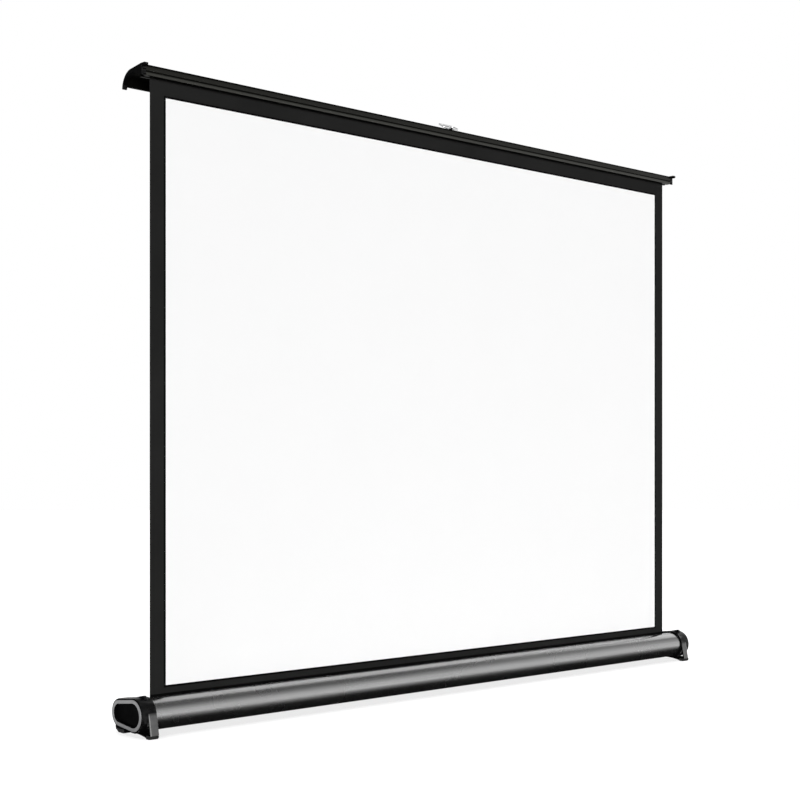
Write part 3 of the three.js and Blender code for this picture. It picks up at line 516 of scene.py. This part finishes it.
def ring_faces(shape):
    """A trim ring is satin on its face and rim, and black inside, behind a narrow chamfer."""
    outer = max(abs(vertex.co.x) for vertex in shape.verts)
    y = sum(vertex.co.y for vertex in shape.verts) / len(shape.verts)
    z = sum(vertex.co.z for vertex in shape.verts) / len(shape.verts)
    inside = [face for face in shape.faces if abs(face.normal.x) < HALF and inward(face, y, z)]
    for face in inside:
        face.material_index = DULL
    rim = {
        edge
        for face in inside
        for edge in face.edges
        if all(abs(abs(vertex.co.x) - outer) < ON_PLANE for vertex in edge.verts)
    }
    rounded(shape, list(rim), RING_CHAMFER, segments=1, finish=DULL)


def lid_faces(shape):
    """The lid is dull inside, in its grooves and over its ribs, and brightest on its lower rib."""
    for face in shape.faces:
        middle = face.calc_center_median()
        at_end = abs(face.normal.x) > HALF
        on_lower = middle.z < LID_GROOVE_Z
        crest_top = LOWER_CREST_TOP if on_lower else UPPER_CREST_TOP
        if middle.y < LID_FLAT_Y and not at_end:
            crest = BRIGHT if on_lower else GENERAL
            face.material_index = DULL if middle.z > crest_top else crest
        elif at_end or face.normal.y < -SQUARELY or inward(face, LID_HOLLOW_Y, LID_HOLLOW_Z):
            face.material_index = DULL


MARKED = {
    "end_cap": cap_faces,
    "lid_cap": lid_cap_faces,
    "cap_ring": ring_faces,
    "lid_extrusion": lid_faces,
}

# Pieces

RECORD = frame["record"]
SLOT_OF = {part["node"]: part["material_slot"] for part in RECORD["subparts"]}
BODY_OF = {node: body for body, nodes in RECORD["behaviour"]["bodies"].items() for node in nodes}

# How wide the corners of these pieces are eased, in millimetres
EASED = {
    "housing_extrusion": 0.25,
    "lid_extrusion": 0.25,
    "end_cap": 0.35,
    "lid_cap": 0.3,
    "cap_ring": 0.15,
    "cap_plate": 0.2,
    "toe_pad": 0.5,
    "heel_pad": 0.5,
    "lower_arm": 0.25,
    "upper_arm": 0.25,
    "base_bracket": 0.2,
    "top_bracket": 0.2,
    "ring_lug": 0.2,
    "pull_ring": 0.1,
    "base_pin": 0.15,
    "top_pin": 0.15,
    "elbow_pin": 0.15,
    "elbow_washer": 0.1,
}

# The backing's place among the finishes of the cloth
BACKING = 1


def added(name, data):
    """A new object of the scene."""
    made = bpy.data.objects.new(name, data)
    bpy.context.scene.collection.objects.link(made)
    return made


def mesh_of(name, shape):
    mesh = bpy.data.meshes.new(name)
    shape.to_mesh(mesh)
    shape.free()
    return mesh


def finished(name, mesh, finishes, body, slot, *nodes):
    """Makes a mesh a piece that rides on a body and stands for CAD nodes."""
    piece = added(name, mesh)
    for finish in finishes:
        mesh.materials.append(finish)
    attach(piece, body)
    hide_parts(*nodes)
    return piece


def stem(node):
    """A node's name without its side."""
    return node.removesuffix("_left").removesuffix("_right")


def eased(node, width):
    """A copy of a CAD node with its flats joined up, its corners eased and its curves smooth."""
    shape = bmesh.new()
    shape.from_mesh(frame["nodes"][node].data)
    bmesh.ops.remove_doubles(shape, verts=shape.verts, dist=SAME_POINT)
    flat = math.radians(FLAT_ANGLE)
    bmesh.ops.dissolve_limit(shape, angle_limit=flat, verts=shape.verts, edges=shape.edges, delimit=set())
    if stem(node) in MARKED:
        MARKED[stem(node)](shape)
    mesh = mesh_of(f"{node}_eased", shape)
    for face in mesh.polygons:
        face.use_smooth = True
    slot = SLOT_OF[node]
    finishes = OWN_FINISHES.get(stem(node), [FINISHES[slot]])
    piece = finished(f"{node}_eased", mesh, finishes, BODY_OF[node], slot, node)
    bevel = piece.modifiers.new("corners", "BEVEL")
    bevel.width = width
    bevel.segments = 2
    bevel.limit_method = "ANGLE"
    bevel.angle_limit = math.radians(EASED_ANGLE)
    bevel.harden_normals = False
    shading = piece.modifiers.new("flats", "WEIGHTED_NORMAL")
    shading.keep_sharp = True


def kept(node, finish):
    """A CAD node whose shape is right, with a finish of its own."""
    mesh = frame["nodes"][node].data
    mesh.materials.clear()
    mesh.materials.append(finish)


def hard_pieces():
    """Everything but the cloth: the eased pieces, and small parts that keep their CAD shape."""
    for node in sorted(frame["nodes"]):
        if stem(node) in EASED:
            eased(node, EASED[stem(node)] * MM)
        elif SLOT_OF[node] in FINISHES:
            kept(node, FINISHES[SLOT_OF[node]])


def cloth():
    """The cloth between roller and lid: a flat sheet with its picture side, its backing and thin edges."""
    low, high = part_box("screen_fabric")
    shape = bmesh.new()
    corners = [(low.x, low.z), (high.x, low.z), (high.x, high.z), (low.x, high.z)]
    shape.faces.new([shape.verts.new((x, low.y, z)) for x, z in corners])
    bmesh.ops.subdivide_edges(shape, edges=shape.edges, cuts=CLOTH_CUTS, use_grid_fill=True)
    front = shape.verts[:] + shape.edges[:] + shape.faces[:]
    back = bmesh.ops.duplicate(shape, geom=front)["geom"]
    back_verts = [part for part in back if isinstance(part, bmesh.types.BMVert)]
    back_faces = [part for part in back if isinstance(part, bmesh.types.BMFace)]
    bmesh.ops.translate(shape, verts=back_verts, vec=(0.0, high.y - low.y, 0.0))
    bmesh.ops.reverse_faces(shape, faces=back_faces)
    rims = [edge for edge in shape.edges if edge.is_boundary]
    sides = bmesh.ops.bridge_loops(shape, edges=rims)["faces"]
    for face in back_faces + sides:
        face.material_index = BACKING
    layer = shape.loops.layers.uv.new("flat")
    for face in shape.faces:
        for loop in face.loops:
            loop[layer].uv = (loop.vert.co.x, loop.vert.co.z)
    bmesh.ops.recalc_face_normals(shape, faces=shape.faces)
    mesh = mesh_of("cloth", shape)
    finishes = [picture_cloth(), backing_cloth()]
    piece = finished("cloth", mesh, finishes, "base", "screen_cloth", "screen_fabric")
    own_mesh(piece)


# Studio

FLOOR_RADIUS = 9.0
FLOOR_SIDES = 96
FLOOR_GLOW = 0.85
# The floor's paint goes from the dark of its painted shadow to its pale
FLOOR_PAINTED_SHADOW = (0.03, 0.03, 0.03, 1.0)
FLOOR_PALE = (0.9, 0.9, 0.9, 1.0)

# How near the object the painted contact shadow darkens the floor, between which shares of open sky and
# how soon, and the share of the floor's glow that it leaves
CONTACT_REACH = 0.06
CONTACT_SAMPLES = 12
CONTACT_DARK = 0.25
CONTACT_CLEAR = 0.9
CONTACT_POWER = 0.9
CONTACT_LIFT = 0.95

# The floor as gloss mirrors it, with painted shadow: dark under the object, and paler from near to far
# outside its footprint
MIRRORED_GLOW = 0.65
MIRRORED_NEAR = 0.016
MIRRORED_FAR = 0.15
STAND_HALF_LENGTH = 0.555
STAND_HALF_DEPTH = 0.035

# The backdrop as gloss mirrors it: white up to one height of a ray, and dim from the other
BACKDROP_FROM = 0.2
BACKDROP_TO = 0.7
CEILING_LEVEL = 0.15

# The soft fill from in front and from behind, and the depths of a ray that it changes between
FRONT_FILL = 0.07
REAR_FILL = 0.55
FILL_FROM = -0.1
FILL_TO = 0.6

SIDE_BOX_LENGTH = 1.5
SIDE_BOX_WIDTH = 1.0
SIDE_BOX_LEVEL = 4.5
SIDE_BOX_PLACE = Vector((2.7, 0.45, 1.7))
SIDE_BOX_AIM = Vector((0.5, 0.0, 0.05))

KEY_FROM = Vector((-0.62, -0.76, 0.17))
KEY_SPREAD = 20.0
KEY_LEVEL = 3.31

# The photograph's camera: its width and focal length in pixels, and where it stands and looks
PHOTO_WIDTH = 800.0
FOCAL_LENGTH = 1453.2
SENSOR_WIDTH = 36.0
SHIFT_RIGHT = 0.00015
SHIFT_UP = 0.0806
CAMERA_PLACE = (-1.543, -1.606, 0.3465)
CAMERA_TILT = 90.0
CAMERA_TURN = -42.05


def floor():
    """A pale table that shows white, keeps the object's shadow and has painted shadow close to the object.
    """
    shape = bmesh.new()
    bmesh.ops.create_circle(shape, cap_ends=True, segments=FLOOR_SIDES, radius=FLOOR_RADIUS)
    mesh = mesh_of("floor", shape)
    material = bpy.data.materials.new("pale_floor")
    material.use_nodes = True
    mesh.materials.append(material)
    added("floor", mesh)
    stage = Stage(material.node_tree)
    reach = {"Distance": CONTACT_REACH}
    # painted contact shadow: the floor's glow and paint darken where the object hides the open sky
    clear = stage.node("ShaderNodeAmbientOcclusion", {"samples": CONTACT_SAMPLES}, reach, "AO")
    contact = stage.ramp(clear, CONTACT_DARK, CONTACT_CLEAR).math("POWER", CONTACT_POWER)
    # painted shadow that gloss sees: the floor is dark under the object and pales outside its footprint
    outside = stage.beyond(0, STAND_HALF_LENGTH).math("MAXIMUM", stage.beyond(1, STAND_HALF_DEPTH))
    away = stage.ramp(outside, MIRRORED_NEAR, MIRRORED_FAR)
    seen = stage.rays("Is Camera Ray")
    mirrored = stage.rays("Is Glossy Ray", "Is Transmission Ray")
    shown = seen * (contact * (1.0 - CONTACT_LIFT) + CONTACT_LIFT) * FLOOR_GLOW
    reflected = mirrored * away * MIRRORED_GLOW
    glow = stage.node("ShaderNodeEmission", {}, {"Strength": shown + reflected})
    paint = stage.blend(contact * (1.0 - mirrored * (1.0 - away)), FLOOR_PAINTED_SHADOW, FLOOR_PALE)
    matt = stage.node("ShaderNodeBsdfDiffuse", {}, {"Color": paint})
    both = stage.node("ShaderNodeAddShader", {}, [matt, glow])
    stage.node("ShaderNodeOutputMaterial", {}, {"Surface": both}, None)


def world():
    """A white backdrop that gloss sees up to a dim ceiling, and a soft fill for the object's back."""
    sky = bpy.data.worlds.new("studio")
    bpy.context.scene.world = sky
    sky.use_nodes = True
    stage = Stage(sky.node_tree)
    depth = stage.coordinate("Generated", 1)
    height = stage.coordinate("Generated", 2)
    fill = stage.ramp(depth, FILL_FROM, FILL_TO, FRONT_FILL, REAR_FILL, "SMOOTHSTEP")
    backdrop = stage.ramp(height, BACKDROP_FROM, BACKDROP_TO, 1.0, CEILING_LEVEL)
    seen = stage.rays("Is Camera Ray")
    mirrored = stage.rays("Is Glossy Ray", "Is Transmission Ray")
    soft = 1.0 - stage.rays("Is Camera Ray", "Is Glossy Ray", "Is Transmission Ray")
    level = seen + mirrored * backdrop + soft * fill
    white = stage.node("ShaderNodeBackground", {}, {"Color": (1.0, 1.0, 1.0, 1.0), "Strength": level})
    stage.node("ShaderNodeOutputWorld", {}, {"Surface": white}, None)


def shine_from(lamp, direction):
    """Turns a lamp so that its light comes from a direction."""
    lamp.rotation_euler = direction.to_track_quat("Z", "Y").to_euler()


def side_box():
    """A soft box high on the right, whose reflection runs along the top of the housing."""
    light = bpy.data.lights.new("side_box", "AREA")
    light.shape = "RECTANGLE"
    light.size = SIDE_BOX_LENGTH
    light.size_y = SIDE_BOX_WIDTH
    light.energy = SIDE_BOX_LEVEL
    lamp = added("side_box", light)
    lamp.location = SIDE_BOX_PLACE
    shine_from(lamp, SIDE_BOX_PLACE - SIDE_BOX_AIM)


def key_light():
    """One broad soft light from beside the camera."""
    light = bpy.data.lights.new("key", "SUN")
    light.energy = KEY_LEVEL
    light.angle = math.radians(KEY_SPREAD)
    shine_from(added("key", light), KEY_FROM)


def camera():
    """The camera that took the photograph, as far as the picture's corners tell."""
    lens = bpy.data.cameras.new("camera")
    lens.sensor_width = SENSOR_WIDTH
    lens.lens = FOCAL_LENGTH * SENSOR_WIDTH / PHOTO_WIDTH
    lens.shift_x = SHIFT_RIGHT
    lens.shift_y = SHIFT_UP
    made = added("camera", lens)
    made.location = CAMERA_PLACE
    made.rotation_euler = (math.radians(CAMERA_TILT), 0.0, math.radians(CAMERA_TURN))
    bpy.context.scene.camera = made


hard_pieces()
cloth()
kept("fabric_wraps", wound_backing())
floor()
world()
side_box()
key_light()
camera()
bpy.context.scene.view_settings.view_transform = "Standard"
